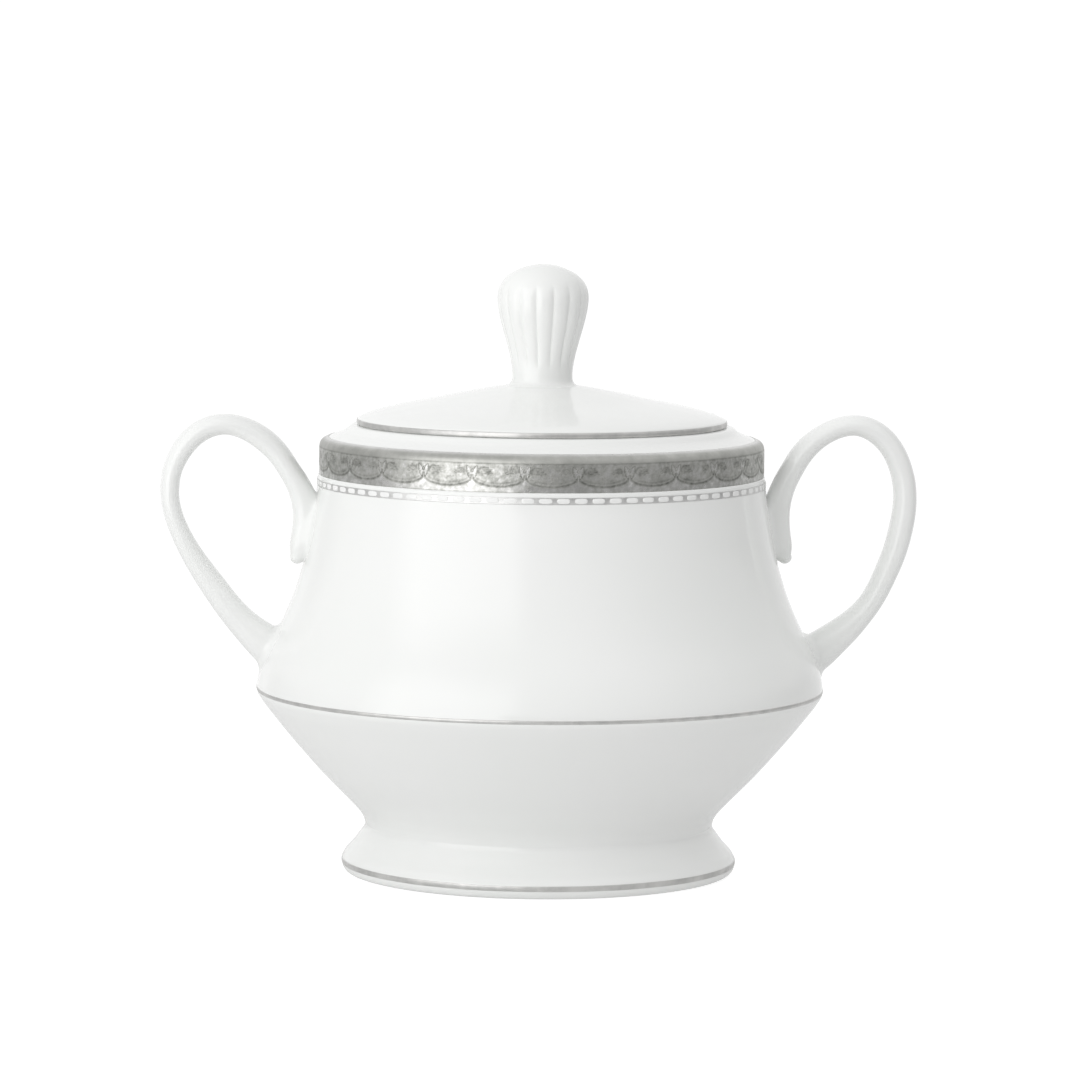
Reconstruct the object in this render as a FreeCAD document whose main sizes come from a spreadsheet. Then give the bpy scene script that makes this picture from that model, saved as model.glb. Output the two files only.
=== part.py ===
"""Covered two-handled sugar bowl, glazed porcelain with platinum trim.

Frame: millimetres, +Z up, origin at the centre of the resting plane.
The handles lie in the XZ plane, one on -X (left) and one on +X (right).
Bowl: a hollow vessel on a spreading foot, two loop handles, a rim band, a
bead border and two thin lines.  Lid: a shallow dome with a locating flange,
a fluted knob and an edge line.  The lid lifts straight up along +Z.
"""
import FreeCAD, Part
import os
import math
import Sketcher

os.makedirs("parts", exist_ok=True)
doc = FreeCAD.newDocument("sugar_bowl")
V = FreeCAD.Vector

# ---------------------------------------------------------------- dimensions
sheet = doc.addObject("Spreadsheet::Sheet", "dims")
_row = [0]
VALUE = {}


def cell(alias, value):
    """one driving dimension: a plain number in column B with its alias"""
    if alias in VALUE:
        return alias
    _row[0] += 1
    sheet.set("A%d" % _row[0], alias)
    sheet.set("B%d" % _row[0], "%.4f" % value)
    sheet.setAlias("B%d" % _row[0], alias)
    VALUE[alias] = round(float(value), 4)
    return alias


def arc_radius(p, m, q):
    """radius of the circle through three points"""
    a = math.dist(m, q)
    b = math.dist(p, q)
    c = math.dist(p, m)
    area = abs((m[0] - p[0]) * (q[1] - p[1]) - (m[1] - p[1]) * (q[0] - p[0])) / 2
    return a * b * c / (4 * area)


def on_sphere(p, q):
    """middle of the arc from p to q whose centre lies on the axis r = 0"""
    c = (q[0] ** 2 + q[1] ** 2 - p[0] ** 2 - p[1] ** 2) / (2 * (q[1] - p[1]))
    rad = math.hypot(p[0], p[1] - c)
    m = ((p[0] + q[0]) / 2, (p[1] + q[1]) / 2 - c)
    k = rad / math.hypot(*m)
    return (m[0] * k, m[1] * k + c)


def origin_part(body, role):
    return [o for o in body.Origin.OriginFeatures if o.Role == role][0]


def profile(body, name, pts):
    """closed half-profile on the body's XZ plane, from lines and arcs.
    pts: (word, r, z) starts, ("L", word, r, z) a line to, ("A", rm, zm, word,
    r, z) an arc through (rm, zm) to, ("S", word, r, z) an arc to whose centre
    lies on the axis.  Every vertex is held by two cells and every other arc by
    the cell of its radius; r = 0 lies on the axis."""
    sk = body.newObject("Sketcher::SketchObject", name)
    sk.AttachmentSupport = [(origin_part(body, "XZ_Plane"), "")]
    sk.MapMode = "FlatFace"
    verts = [pts[0]]
    segs = []
    for p in pts[1:]:
        if p[0] == "L":
            verts.append(p[1:])
            segs.append(("L", None))
        elif p[0] == "S":
            segs.append(("S", on_sphere(verts[-1][1:], p[2:])))
            verts.append(p[1:])
        else:
            verts.append(p[3:])
            segs.append(("A", (p[1], p[2])))
    segs.append(("L", None))                      # closes the profile
    n = len(verts)
    # a sketch arc runs counter-clockwise, so a clockwise one is drawn from its
    # far end, and ends says which end of each piece is its first vertex
    ends = []
    for i, (kind, mid) in enumerate(segs):
        p, q = verts[i], verts[(i + 1) % n]
        P, Q = V(p[1], p[2], 0), V(q[1], q[2], 0)
        if kind == "L":
            sk.addGeometry(Part.LineSegment(P, Q), False)
            ends.append((1, 2))
            continue
        M = V(mid[0], mid[1], 0)
        if (M - P).cross(Q - M).z > 0:
            sk.addGeometry(Part.Arc(P, M, Q), False)
            ends.append((1, 2))
        else:
            sk.addGeometry(Part.Arc(Q, M, P), False)
            ends.append((2, 1))
    for i in range(n):
        j = (i + 1) % n
        sk.addConstraint(Sketcher.Constraint("Coincident", i, ends[i][1], j, ends[j][0]))
    for i, v in enumerate(verts):
        w, r, z = v
        if r == 0:
            sk.addConstraint(Sketcher.Constraint("PointOnObject", i, ends[i][0], -2))
        else:
            k = sk.addConstraint(Sketcher.Constraint("DistanceX", -1, 1, i, ends[i][0], r))
            sk.renameConstraint(k, w + "_rad")
            sk.setExpression("Constraints." + w + "_rad", "dims." + cell(w + "_rad", r))
        if z == 0:
            sk.addConstraint(Sketcher.Constraint("PointOnObject", i, ends[i][0], -1))
        else:
            k = sk.addConstraint(Sketcher.Constraint("DistanceY", -1, 1, i, ends[i][0], z))
            sk.renameConstraint(k, w + "_high")
            sk.setExpression("Constraints." + w + "_high", "dims." + cell(w + "_high", z))
    for i, (kind, mid) in enumerate(segs):
        if kind == "A":
            w = verts[(i + 1) % n][0]
            rad = arc_radius(verts[i][1:], mid, verts[(i + 1) % n][1:])
            k = sk.addConstraint(Sketcher.Constraint("Radius", i, rad))
            sk.renameConstraint(k, w + "_bend")
            sk.setExpression("Constraints." + w + "_bend", "dims." + cell(w + "_bend", rad))
        elif kind == "S":
            sk.addConstraint(Sketcher.Constraint("PointOnObject", i, 3, -2))
    return sk


def turned(label, pts):
    """a piece turned about Z from one half-profile"""
    body = doc.addObject("PartDesign::Body", label)
    body.Label = label
    sk = profile(body, label + "_profile", pts)
    rev = body.newObject("PartDesign::Revolution", label + "_turn")
    rev.Profile = sk
    rev.ReferenceAxis = (sk, ["V_Axis"])
    cell("full_turn", 360)
    rev.setExpression("Angle", "dims.full_turn")
    body.Tip = rev
    return body


# ------------------------------------------------------------------ the bowl
# outside of the vessel from the waist to the band, used by the vessel and by
# the solid that trims the handles to the wall
OUTSIDE = [
    ("A", 35.25, 11.70, "cup_low", 37.30, 14.0),
    ("A", 43.15, 20.0, "cup_mid", 50.10, 28.0),
    ("A", 53.40, 32.0, "cup_top", 55.75, 35.3),
    ("A", 55.88, 35.65, "belly_under", 55.95, 36.1),
    ("L", "belly_over", 55.95, 36.7),
    ("A", 55.84, 37.7, "bell_start", 55.55, 39.5),
    ("A", 53.90, 44.2, "bell_low", 51.35, 49.0),
    ("A", 48.85, 55.0, "bell_mid", 46.95, 61.0),
    ("A", 45.28, 69.0, "bell_high", 44.05, 76.3),
    ("L", "bead_over", 44.05, 78.7),
]
vessel = turned("bowl_body", [
    ("waist", 34.40, 9.5)] + OUTSIDE + [
    ("L", "band_under", 43.65, 78.7),
    ("L", "band_over", 43.65, 84.1),
    ("A", 43.44, 84.98, "corner", 42.80, 85.62),
    ("A", 40.90, 86.42, "cove_mid", 38.80, 87.25),
    ("A", 38.00, 87.95, "cove_top", 37.40, 88.50),
    ("L", "mouth_edge", 33.80, 88.50),
    ("L", "mouth_under", 33.80, 86.00),
    ("A", 34.40, 84.60, "shoulder_in", 36.40, 84.05),
    ("A", 39.90, 82.70, "shoulder_out", 41.25, 79.5),
    ("A", 42.45, 69.5, "in_high", 44.15, 61.0),
    ("A", 46.00, 55.0, "in_mid", 48.35, 49.3),
    ("A", 51.00, 44.0, "in_low", 52.65, 39.5),
    ("A", 52.75, 37.0, "in_belly", 51.90, 34.6),
    ("A", 46.75, 28.2, "in_cup", 40.00, 20.6),
    ("A", 36.90, 17.7, "in_knuckle", 32.0, 15.2),
    ("S", "floor", 0, 13.0),
    ("L", "underside", 0, 9.5),
])
envelope = turned("wall_envelope", [
    ("waist", 34.40, 9.5)] + OUTSIDE + [
    ("L", "cap_edge", 44.05, 84.0), ("L", "cap_axis", 0, 84.0), ("L", "underside", 0, 9.5)])

# spreading foot with a hollow underside, joined to the vessel at the waist
foot = turned("pedestal_foot", [
    ("ring_in", 36.20, 0), ("L", "ring_out", 37.50, 0),
    ("A", 38.55, 0.55, "foot_under", 38.95, 1.75),
    ("L", "foot_over", 38.95, 2.75),
    ("A", 37.85, 4.45, "foot_slope", 36.40, 6.0),
    ("A", 34.95, 8.1, "waist", 34.40, 9.5),
    ("L", "waist_in", 31.00, 9.5),
    ("A", 31.90, 6.0, "hollow_low", 34.60, 2.4)])


def ring(label, r_in, r_out, z_low, z_high, edge):
    """a thin applied ring with both outer corners rounded off"""
    body = doc.addObject("PartDesign::Body", label)
    body.Label = label
    w = label
    sk = profile(body, label + "_profile", [
        (w + "_a", r_in, z_low),
        ("L", w + "_b", r_out - edge, z_low),
        ("L", w + "_c", r_out, z_low + edge),
        ("L", w + "_d", r_out, z_high - edge),
        ("L", w + "_e", r_out - edge, z_high),
        ("L", w + "_f", r_in, z_high)])
    rev = body.newObject("PartDesign::Revolution", label + "_turn")
    rev.Profile = sk
    rev.ReferenceAxis = (sk, ["V_Axis"])
    rev.setExpression("Angle", "dims.full_turn")
    body.Tip = rev
    return body


rim_band = ring("rim_band", 43.65, 43.92, 78.70, 84.10, 0.08)
bead_border = ring("bead_border", 44.05, 44.23, 76.60, 77.90, 0.06)
belly_line = ring("belly_line", 55.95, 56.12, 36.10, 36.70, 0.05)
foot_line = ring("foot_line", 38.95, 39.15, 1.75, 2.75, 0.06)

# --------------------------------------------------------------- the handles
# each row: x and z of the centre line, full thickness in the XZ plane, full
# width along Y.  The row of the lower root starts inside the wall and the
# last rows run down the wall as a tail; both are trimmed to the wall.
LEFT = [
    (50.5, 42.4, 8.6, 9.4), (54.6, 45.7, 7.2, 9.0), (57.97, 48.67, 6.0, 8.4), (60.93, 51.88, 5.35, 8.0),
    (64.66, 56.85, 4.95, 7.6), (67.95, 61.60, 4.35, 7.3), (71.35, 67.87, 3.75, 7.0), (72.95, 72.9, 3.6, 7.0),
    (73.14, 76.2, 3.65, 7.0), (72.60, 79.6, 3.75, 7.0), (71.20, 82.75, 3.95, 7.0), (68.80, 85.85, 4.1, 7.1),
    (65.8, 87.80, 4.05, 7.2), (61.97, 88.45, 4.0, 7.3), (57.95, 87.38, 4.25, 7.4), (54.75, 85.40, 4.45, 7.5),
    (52.05, 82.80, 4.35, 7.5), (49.95, 79.75, 4.3, 7.4), (48.05, 76.60, 4.6, 7.2), (46.85, 73.2, 4.9, 7.0),
    (46.50, 69.6, 5.0, 6.8), (46.95, 66.3, 4.9, 6.5), (47.55, 63.9, 4.4, 5.9), (48.35, 62.2, 2.6, 4.4)]
RIGHT = [
    (50.5, 40.9, 8.6, 9.4), (54.6, 43.2, 7.6, 9.0), (57.84, 45.57, 6.6, 8.4), (61.00, 48.15, 5.6, 8.0),
    (63.35, 50.40, 4.85, 7.8), (65.4, 52.85, 4.45, 7.6), (67.1, 55.6, 4.4, 7.4), (68.9, 59.45, 4.5, 7.2),
    (70.30, 62.95, 4.6, 7.0), (71.42, 66.9, 4.65, 7.0), (72.20, 71.0, 4.6, 7.0), (72.40, 74.4, 4.5, 7.0),
    (72.12, 77.4, 4.45, 7.0), (71.25, 80.6, 4.4, 7.0), (69.55, 84.0, 4.4, 7.1), (66.15, 87.27, 4.3, 7.2),
    (62.11, 88.50, 4.0, 7.3), (57.92, 87.60, 3.95, 7.4), (54.50, 85.60, 4.1, 7.5), (51.80, 82.90, 4.3, 7.5),
    (49.85, 79.80, 4.35, 7.4), (48.25, 76.70, 4.6, 7.2), (47.15, 73.1, 4.9, 7.0), (46.90, 69.6, 5.0, 6.8),
    (47.25, 66.3, 4.9, 6.5), (47.85, 63.9, 4.4, 5.9), (48.65, 62.2, 2.6, 4.4)]


def handle(label, rows, side):
    """loop handle: a loft through elliptical sections square to the centre
    line, cut back to the wall of the vessel"""
    words = []
    for k, (x, z, thick, wide) in enumerate(rows):
        w = "%s_%s" % (label.split("_")[0], "abcdefghijklmnopqrstuvwxyz"[k // 26] + "abcdefghijklmnopqrstuvwxyz"[k % 26])
        words.append((cell(w + "_out", x), cell(w + "_up", z), cell(w + "_thick", thick), cell(w + "_wide", wide)))
    doc.recompute()
    pts = [V(side * float(sheet.get(a)), 0, float(sheet.get(b))) for a, b, c, d in words]
    line = Part.BSplineCurve()
    line.interpolate(pts)
    wires = []
    for (a, b, c, d), p in zip(words, pts):
        t = line.tangent(line.parameter(p))[0]
        n = V(0, 1, 0).cross(t)
        n.normalize()
        half_t, half_w = float(sheet.get(c)) / 2, float(sheet.get(d)) / 2
        ring_pts = []
        for k in range(16):
            u = 2 * math.pi * k / 16
            # a slightly squared oval
            e = 0.86
            cu, su = math.cos(u), math.sin(u)
            x = math.copysign(abs(cu) ** e, cu) * half_t
            y = math.copysign(abs(su) ** e, su) * half_w
            ring_pts.append(p + n * x + V(0, y, 0))
        s = Part.BSplineCurve()
        s.interpolate(Points=ring_pts, PeriodicFlag=True)
        wires.append(Part.Wire([s.toShape()]))
    solid = Part.makeLoft(wires, True, False, False)
    if solid.Volume < 0:
        solid.reverse()
    core = doc.addObject("Part::Feature", label + "_strap")
    core.Shape = solid
    cut = doc.addObject("Part::Cut", label)
    cut.Label = label
    cut.Base = core
    cut.Tool = envelope
    return cut


left_handle = handle("left_handle", LEFT, -1)
right_handle = handle("right_handle", RIGHT, 1)

# ------------------------------------------------------------------- the lid
lid = turned("lid", [
    ("rim_under", 36.35, 88.50), ("L", "rim_low", 36.40, 88.65),
    ("L", "rim_high", 36.40, 89.50),
    ("A", 36.34, 89.72, "dome_edge", 36.10, 89.86),
    ("A", 29.2, 92.06, "dome_mid", 21.00, 93.71),
    ("A", 13.2, 95.36, "dome_high", 6.60, 96.45),
    ("L", "dome_land", 0, 96.45),
    ("L", "dome_in", 0, 93.20),
    ("S", "under_mid", 24.00, 90.0),
    ("A", 27.6, 89.05, "under_low", 30.60, 87.20),
    ("L", "flange_in", 31.00, 84.70),
    ("A", 31.95, 84.20, "flange_low", 32.90, 84.70),
    ("L", "flange_out", 33.20, 87.9),
    ("L", "flange_root", 33.80, 88.50)])
lid_edge_line = ring("lid_edge_line", 36.40, 36.62, 88.65, 89.50, 0.08)

# knob: a pear shape with sixteen shallow flutes that run out at the top
knob = turned("lid_knob", [
    ("knob_axis", 0, 96.45), ("L", "knob_seat", 6.60, 96.45),
    ("A", 6.08, 96.9, "knob_neck", 5.95, 98.0),
    ("A", 6.45, 101.8, "knob_waist", 7.45, 106.0),
    ("A", 8.45, 109.6, "knob_side", 9.02, 112.6),
    ("A", 8.72, 115.8, "knob_crown", 7.00, 118.0),
    ("S", "knob_top", 0, 120.25)])
cell("flute_radius", 1.30)
cell("flute_length", 18.0)
cell("flute_count", 16)
flute = knob.newObject("PartDesign::SubtractiveCylinder", "flute")
flute.setExpression("Radius", "dims.flute_radius")
flute.setExpression("Height", "dims.flute_length")
lean = math.degrees(math.atan(0.25))
flute.AttachmentSupport = None
flute.MapMode = "Deactivated"
flute.Placement = FreeCAD.Placement(V(6.95, 0, 100.6), FreeCAD.Rotation(V(0, 1, 0), lean))
knob.Tip = flute
doc.recompute()
flutes = knob.newObject("PartDesign::PolarPattern", "flutes")
flutes.Originals = [flute]
flutes.Axis = (origin_part(knob, "Z_Axis"), [""])
flutes.setExpression("Angle", "dims.full_turn")
flutes.setExpression("Occurrences", "dims.flute_count")
knob.Tip = flutes

# --------------------------------------------------------- check and write
doc.recompute()
failed = [o.Name for o in doc.Objects if "Invalid" in o.State or "Error" in o.State]
if failed:
    raise RuntimeError("failed objects: %s" % failed)
NODES = [vessel, foot, left_handle, right_handle, rim_band, bead_border,
         belly_line, foot_line, lid, knob, lid_edge_line]
for o in NODES:
    s = o.Shape
    if s.isNull() or not s.isValid() or s.Volume <= 0 or len(s.Solids) != 1:
        raise RuntimeError("bad shape: %s solids %d" % (o.Label, len(s.Solids)))
for o in NODES:
    o.Shape.exportStep("parts/%s.step" % o.Label)
    b = o.Shape.BoundBox
    print("%-14s volume %10.1f  x %.2f %.2f  y %.2f %.2f  z %.2f %.2f" % (
        o.Label, o.Shape.Volume, b.XMin, b.XMax, b.YMin, b.YMax, b.ZMin, b.ZMax))
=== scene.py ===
import bpy, bmesh, math
import numpy as np
from mathutils import Vector, Matrix, noise


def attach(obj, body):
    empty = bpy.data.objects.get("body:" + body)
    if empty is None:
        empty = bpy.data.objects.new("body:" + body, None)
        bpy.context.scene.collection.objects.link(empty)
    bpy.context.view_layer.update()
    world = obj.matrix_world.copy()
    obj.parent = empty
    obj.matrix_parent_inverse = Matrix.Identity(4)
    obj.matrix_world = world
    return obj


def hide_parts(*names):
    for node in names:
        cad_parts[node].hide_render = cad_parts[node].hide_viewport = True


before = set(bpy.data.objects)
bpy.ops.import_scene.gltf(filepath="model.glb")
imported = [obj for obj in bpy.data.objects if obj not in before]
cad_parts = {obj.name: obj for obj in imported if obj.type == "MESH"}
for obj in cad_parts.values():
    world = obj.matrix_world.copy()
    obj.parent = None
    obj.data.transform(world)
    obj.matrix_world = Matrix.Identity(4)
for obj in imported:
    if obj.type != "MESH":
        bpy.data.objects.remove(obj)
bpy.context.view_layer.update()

MM = 0.001
scene = bpy.context.scene


# ------------------------------------------------------------------ curves
def natural_spline(pts, step):
    """points of a natural cubic spline through pts, about step apart"""
    p = np.asarray(pts, float)
    if len(p) < 3:
        n = max(1, int(round(np.linalg.norm(p[-1] - p[0]) / step)))
        t = np.linspace(0, 1, n + 1)[:, None]
        return p[0] * (1 - t) + p[-1] * t
    d = np.linalg.norm(np.diff(p, axis=0), axis=1) ** 0.75
    t = np.concatenate([[0], np.cumsum(d)])
    n = len(p)
    h = np.diff(t)
    A = np.zeros((n, n))
    B = np.zeros((n, p.shape[1]))
    A[0, 0] = A[-1, -1] = 1
    for i in range(1, n - 1):
        A[i, i - 1], A[i, i], A[i, i + 1] = h[i - 1], 2 * (h[i - 1] + h[i]), h[i]
        B[i] = 6 * ((p[i + 1] - p[i]) / h[i] - (p[i] - p[i - 1]) / h[i - 1])
    M = np.linalg.solve(A, B)
    out = []
    for i in range(n - 1):
        k = max(1, int(round(np.linalg.norm(p[i + 1] - p[i]) / step)))
        for s in range(k):
            u = t[i] + h[i] * s / k
            a, b = (t[i + 1] - u), (u - t[i])
            out.append(M[i] * a ** 3 / (6 * h[i]) + M[i + 1] * b ** 3 / (6 * h[i])
                       + (p[i] / h[i] - M[i] * h[i] / 6) * a + (p[i + 1] / h[i] - M[i + 1] * h[i] / 6) * b)
    out.append(p[-1])
    return np.array(out)


def chain(parts, step):
    """one profile from several smooth runs; where two runs meet is a corner.
    Each run is a list of (r, z) and starts where the last one ended."""
    pts, corner = [], []
    for run in parts:
        s = natural_spline(run, step)
        if pts:
            s = s[1:]
        start = len(pts)
        pts.extend([tuple(x) for x in s])
        corner.append(len(pts) - 1)
        del start
    return pts, corner


# ------------------------------------------------------------------ meshes
def new_object(name, verts, faces, sharp=(), material=None):
    me = bpy.data.meshes.new(name)
    me.from_pydata([tuple(v) for v in verts], [], faces)
    me.validate()
    me.update()
    me.shade_smooth()
    ob = bpy.data.objects.new(name, me)
    scene.collection.objects.link(ob)
    if material is not None:
        me.materials.append(material)
    bm = bmesh.new()
    bm.from_mesh(me)
    bmesh.ops.recalc_face_normals(bm, faces=bm.faces[:])
    bm.to_mesh(me)
    bm.free()
    if sharp:
        key = set(sharp)
        for e in me.edges:
            if tuple(sorted(e.vertices)) in key:
                e.use_edge_sharp = True
    me.update()
    return ob


def turn(name, profile, corners, segs, material, closed=True, shape=None):
    """turns an (r, z) profile in mm about Z.  A point with r = 0 is one
    vertex on the axis.  shape(r, z, theta) may move a ring's points."""
    verts, ring_of = [], []
    for r, z in profile:
        if r < 1e-6:
            ring_of.append([len(verts)] * segs)
            verts.append((0, 0, z * MM))
        else:
            row = []
            for k in range(segs):
                a = 2 * math.pi * k / segs
                rr, zz = (r, z) if shape is None else shape(r, z, a)
                row.append(len(verts))
                verts.append((rr * math.cos(a) * MM, rr * math.sin(a) * MM, zz * MM))
            ring_of.append(row)
    faces, sharp = [], []
    n = len(profile)
    pairs = [(i, i + 1) for i in range(n - 1)]
    if closed and not (profile[0][0] < 1e-6 and profile[-1][0] < 1e-6):
        pairs.append((n - 1, 0))
    for i, j in pairs:
        A, B = ring_of[i], ring_of[j]
        for k in range(segs):
            q = (k + 1) % segs
            f = [A[k], A[q], B[q], B[k]]
            g = []
            for v in f:
                if v not in g:
                    g.append(v)
            if len(g) >= 3:
                faces.append(g)
    for c in corners:
        R = ring_of[c % n]
        if len(set(R)) > 1:
            for k in range(segs):
                sharp.append(tuple(sorted((R[k], R[(k + 1) % segs]))))
    return new_object(name, verts, faces, sharp, material)


# --------------------------------------------------------------- materials
class Nodes:
    def __init__(self, name):
        self.mat = bpy.data.materials.new(name)
        self.mat.use_nodes = True
        self.t = self.mat.node_tree
        self.t.nodes.clear()
        self.out = self.add("ShaderNodeOutputMaterial")
        self.bsdf = self.add("ShaderNodeBsdfPrincipled")
        self.link(self.bsdf.outputs["BSDF"], self.out.inputs["Surface"])

    def add(self, kind, **values):
        nd = self.t.nodes.new(kind)
        for k, v in values.items():
            setattr(nd, k, v)
        return nd

    def link(self, a, b):
        self.t.links.new(a, b)

    def coords(self):
        return self.add("ShaderNodeTexCoord").outputs["Object"]

    def noise(self, vec, scale, detail=3.0, rough=0.5, stretch=None):
        if stretch is not None:
            mp = self.add("ShaderNodeMapping")
            mp.inputs["Scale"].default_value = stretch
            self.link(vec, mp.inputs["Vector"])
            vec = mp.outputs["Vector"]
        nz = self.add("ShaderNodeTexNoise")
        nz.inputs["Scale"].default_value = scale
        nz.inputs["Detail"].default_value = detail
        nz.inputs["Roughness"].default_value = rough
        self.link(vec, nz.inputs["Vector"])
        return nz.outputs["Fac"]

    def remap(self, value, lo, hi, to_lo, to_hi):
        m = self.add("ShaderNodeMapRange")
        for k, v in zip(("From Min", "From Max", "To Min", "To Max"), (lo, hi, to_lo, to_hi)):
            m.inputs[k].default_value = v
        self.link(value, m.inputs["Value"])
        return m.outputs["Result"]

    def ramp(self, value, stops):
        r = self.add("ShaderNodeValToRGB")
        while len(r.color_ramp.elements) > 2:
            r.color_ramp.elements.remove(r.color_ramp.elements[-1])
        for i, (pos, col) in enumerate(stops):
            e = r.color_ramp.elements[i] if i < 2 else r.color_ramp.elements.new(pos)
            e.position = pos
            e.color = (*col, 1)
        self.link(value, r.inputs["Fac"])
        return r.outputs["Color"]

    def mix(self, fac, a, b):
        m = self.add("ShaderNodeMix", data_type="RGBA")
        for sock, v in ((m.inputs["Factor"], fac), (m.inputs["A"], a), (m.inputs["B"], b)):
            pass
        ins = {s.identifier: s for s in m.inputs}
        self.put(ins["Factor_Float"], fac)
        self.put(ins["A_Color"], a)
        self.put(ins["B_Color"], b)
        return [s for s in m.outputs if s.identifier == "Result_Color"][0]

    def put(self, sock, v):
        if hasattr(v, "links"):
            self.link(v, sock)
        elif isinstance(v, (tuple, list)):
            sock.default_value = (*v, 1) if len(v) == 3 else v
        else:
            sock.default_value = v

    def math(self, op, a, b=0.0):
        m = self.add("ShaderNodeMath", operation=op)
        self.put(m.inputs[0], a)
        self.put(m.inputs[1], b)
        return m.outputs[0]

    def bump(self, height, distance, strength=1.0, normal=None):
        b = self.add("ShaderNodeBump")
        b.inputs["Distance"].default_value = distance
        b.inputs["Strength"].default_value = strength
        self.link(height, b.inputs["Height"])
        if normal is not None:
            self.link(normal, b.inputs["Normal"])
        return b.outputs["Normal"]


def porcelain_material():
    n = Nodes("glazed_porcelain")
    c = n.coords()
    b = n.bsdf
    broad = n.noise(c, 28.0, 3.0, 0.5)
    n.link(n.ramp(broad, [(0.30, (0.872, 0.884, 0.868)), (0.70, (0.888, 0.893, 0.884))]), b.inputs["Base Color"])
    n.link(n.remap(n.noise(c, 55.0, 2.0, 0.5), 0.3, 0.7, 0.055, 0.10), b.inputs["Roughness"])
    ripple = n.noise(c, 75.0, 2.0, 0.45)
    fine = n.noise(c, 900.0, 2.0, 0.6)
    nrm = n.bump(ripple, 0.00007, 0.5)
    nrm = n.bump(fine, 0.000004, 0.35, nrm)
    n.link(nrm, b.inputs["Normal"])
    b.inputs["IOR"].default_value = 1.52
    return n.mat


def unglazed_material():
    n = Nodes("unglazed_foot_ring")
    c = n.coords()
    b = n.bsdf
    n.link(n.ramp(n.noise(c, 800.0, 4.0, 0.6), [(0.3, (0.80, 0.79, 0.76)), (0.7, (0.87, 0.865, 0.85))]), b.inputs["Base Color"])
    n.link(n.remap(n.noise(c, 500.0, 3.0, 0.6), 0.3, 0.7, 0.62, 0.80), b.inputs["Roughness"])
    n.link(n.bump(n.noise(c, 2500.0, 3.0, 0.6), 0.00003, 0.6), b.inputs["Normal"])
    return n.mat


def platinum_line_material():
    n = Nodes("platinum_line")
    c = n.coords()
    b = n.bsdf
    b.inputs["Metallic"].default_value = 0.80
    wear = n.noise(c, 260.0, 4.0, 0.6)
    n.link(n.ramp(wear, [(0.32, (0.52, 0.52, 0.51)), (0.62, (0.66, 0.655, 0.64))]), b.inputs["Base Color"])
    n.link(n.remap(n.noise(c, 420.0, 3.0, 0.6), 0.3, 0.7, 0.30, 0.42), b.inputs["Roughness"])
    n.link(n.bump(n.noise(c, 1500.0, 3.0, 0.6, (1, 1, 3)), 0.00001, 0.5), b.inputs["Normal"])
    return n.mat


def etched_platinum_material():
    """polished high places, matt etched ground: 'relief' is the height of the
    pattern on the mesh, from 0 in the ground to 1 on the high places"""
    n = Nodes("etched_platinum")
    c = n.coords()
    b = n.bsdf
    b.inputs["Metallic"].default_value = 1.0
    at = n.add("ShaderNodeAttribute", attribute_name="relief", attribute_type="GEOMETRY")
    rel = at.outputs["Fac"]
    ground = n.remap(rel, 0.30, 0.75, 1.0, 0.0)
    patch = n.noise(c, 330.0, 5.0, 0.66)
    # the tone follows the relief value, so besides the etched and polished pattern it also carries the painted shade
    # along the arc cut lines and the painted reflection up the band's top corner
    tone = n.ramp(rel, [(0.0, (0.165, 0.168, 0.155)), (0.45, (0.39, 0.393, 0.37)), (0.62, (0.485, 0.485, 0.47)),
                        (0.80, (0.62, 0.617, 0.605)), (1.0, (0.84, 0.84, 0.83))])
    worn = n.ramp(rel, [(0.0, (0.25, 0.252, 0.235)), (0.45, (0.50, 0.50, 0.475)), (0.62, (0.58, 0.58, 0.565)),
                        (0.80, (0.69, 0.687, 0.675)), (1.0, (0.88, 0.88, 0.87))])
    n.link(n.mix(n.remap(patch, 0.34, 0.66, 0.0, 1.0), tone, worn), b.inputs["Base Color"])
    r_hi = n.remap(n.noise(c, 600.0, 3.0, 0.6), 0.3, 0.7, 0.24, 0.34)
    r_lo = n.remap(n.noise(c, 2200.0, 3.0, 0.6), 0.3, 0.7, 0.36, 0.50)
    m = n.add("ShaderNodeMix", data_type="FLOAT")
    n.link(ground, m.inputs[0])
    n.link(r_hi, m.inputs[2])
    n.link(r_lo, m.inputs[3])
    n.link(m.outputs[0], b.inputs["Roughness"])
    grain = n.math("MULTIPLY", n.noise(c, 2600.0, 3.0, 0.6), ground)
    n.link(n.bump(grain, 0.00007, 0.7), b.inputs["Normal"])
    return n.mat


def enamel_material():
    n = Nodes("bead_enamel")
    c = n.coords()
    b = n.bsdf
    n.link(n.ramp(n.noise(c, 500.0, 2.0, 0.5), [(0.3, (0.86, 0.865, 0.86)), (0.7, (0.91, 0.912, 0.90))]), b.inputs["Base Color"])
    n.link(n.remap(n.noise(c, 700.0, 2.0, 0.5), 0.3, 0.7, 0.08, 0.16), b.inputs["Roughness"])
    n.link(n.bump(n.noise(c, 1800.0, 2.0, 0.5), 0.00001, 0.4), b.inputs["Normal"])
    b.inputs["IOR"].default_value = 1.52
    return n.mat


def ladder_material():
    n = Nodes("grey_platinum_ladder")
    c = n.coords()
    b = n.bsdf
    b.inputs["Metallic"].default_value = 0.85
    n.link(n.ramp(n.noise(c, 900.0, 3.0, 0.6), [(0.3, (0.62, 0.62, 0.615)), (0.7, (0.73, 0.73, 0.72))]), b.inputs["Base Color"])
    n.link(n.remap(n.noise(c, 900.0, 3.0, 0.6), 0.3, 0.7, 0.30, 0.45), b.inputs["Roughness"])
    n.link(n.bump(n.noise(c, 2500.0, 3.0, 0.6), 0.00001, 0.5), b.inputs["Normal"])
    return n.mat


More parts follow.
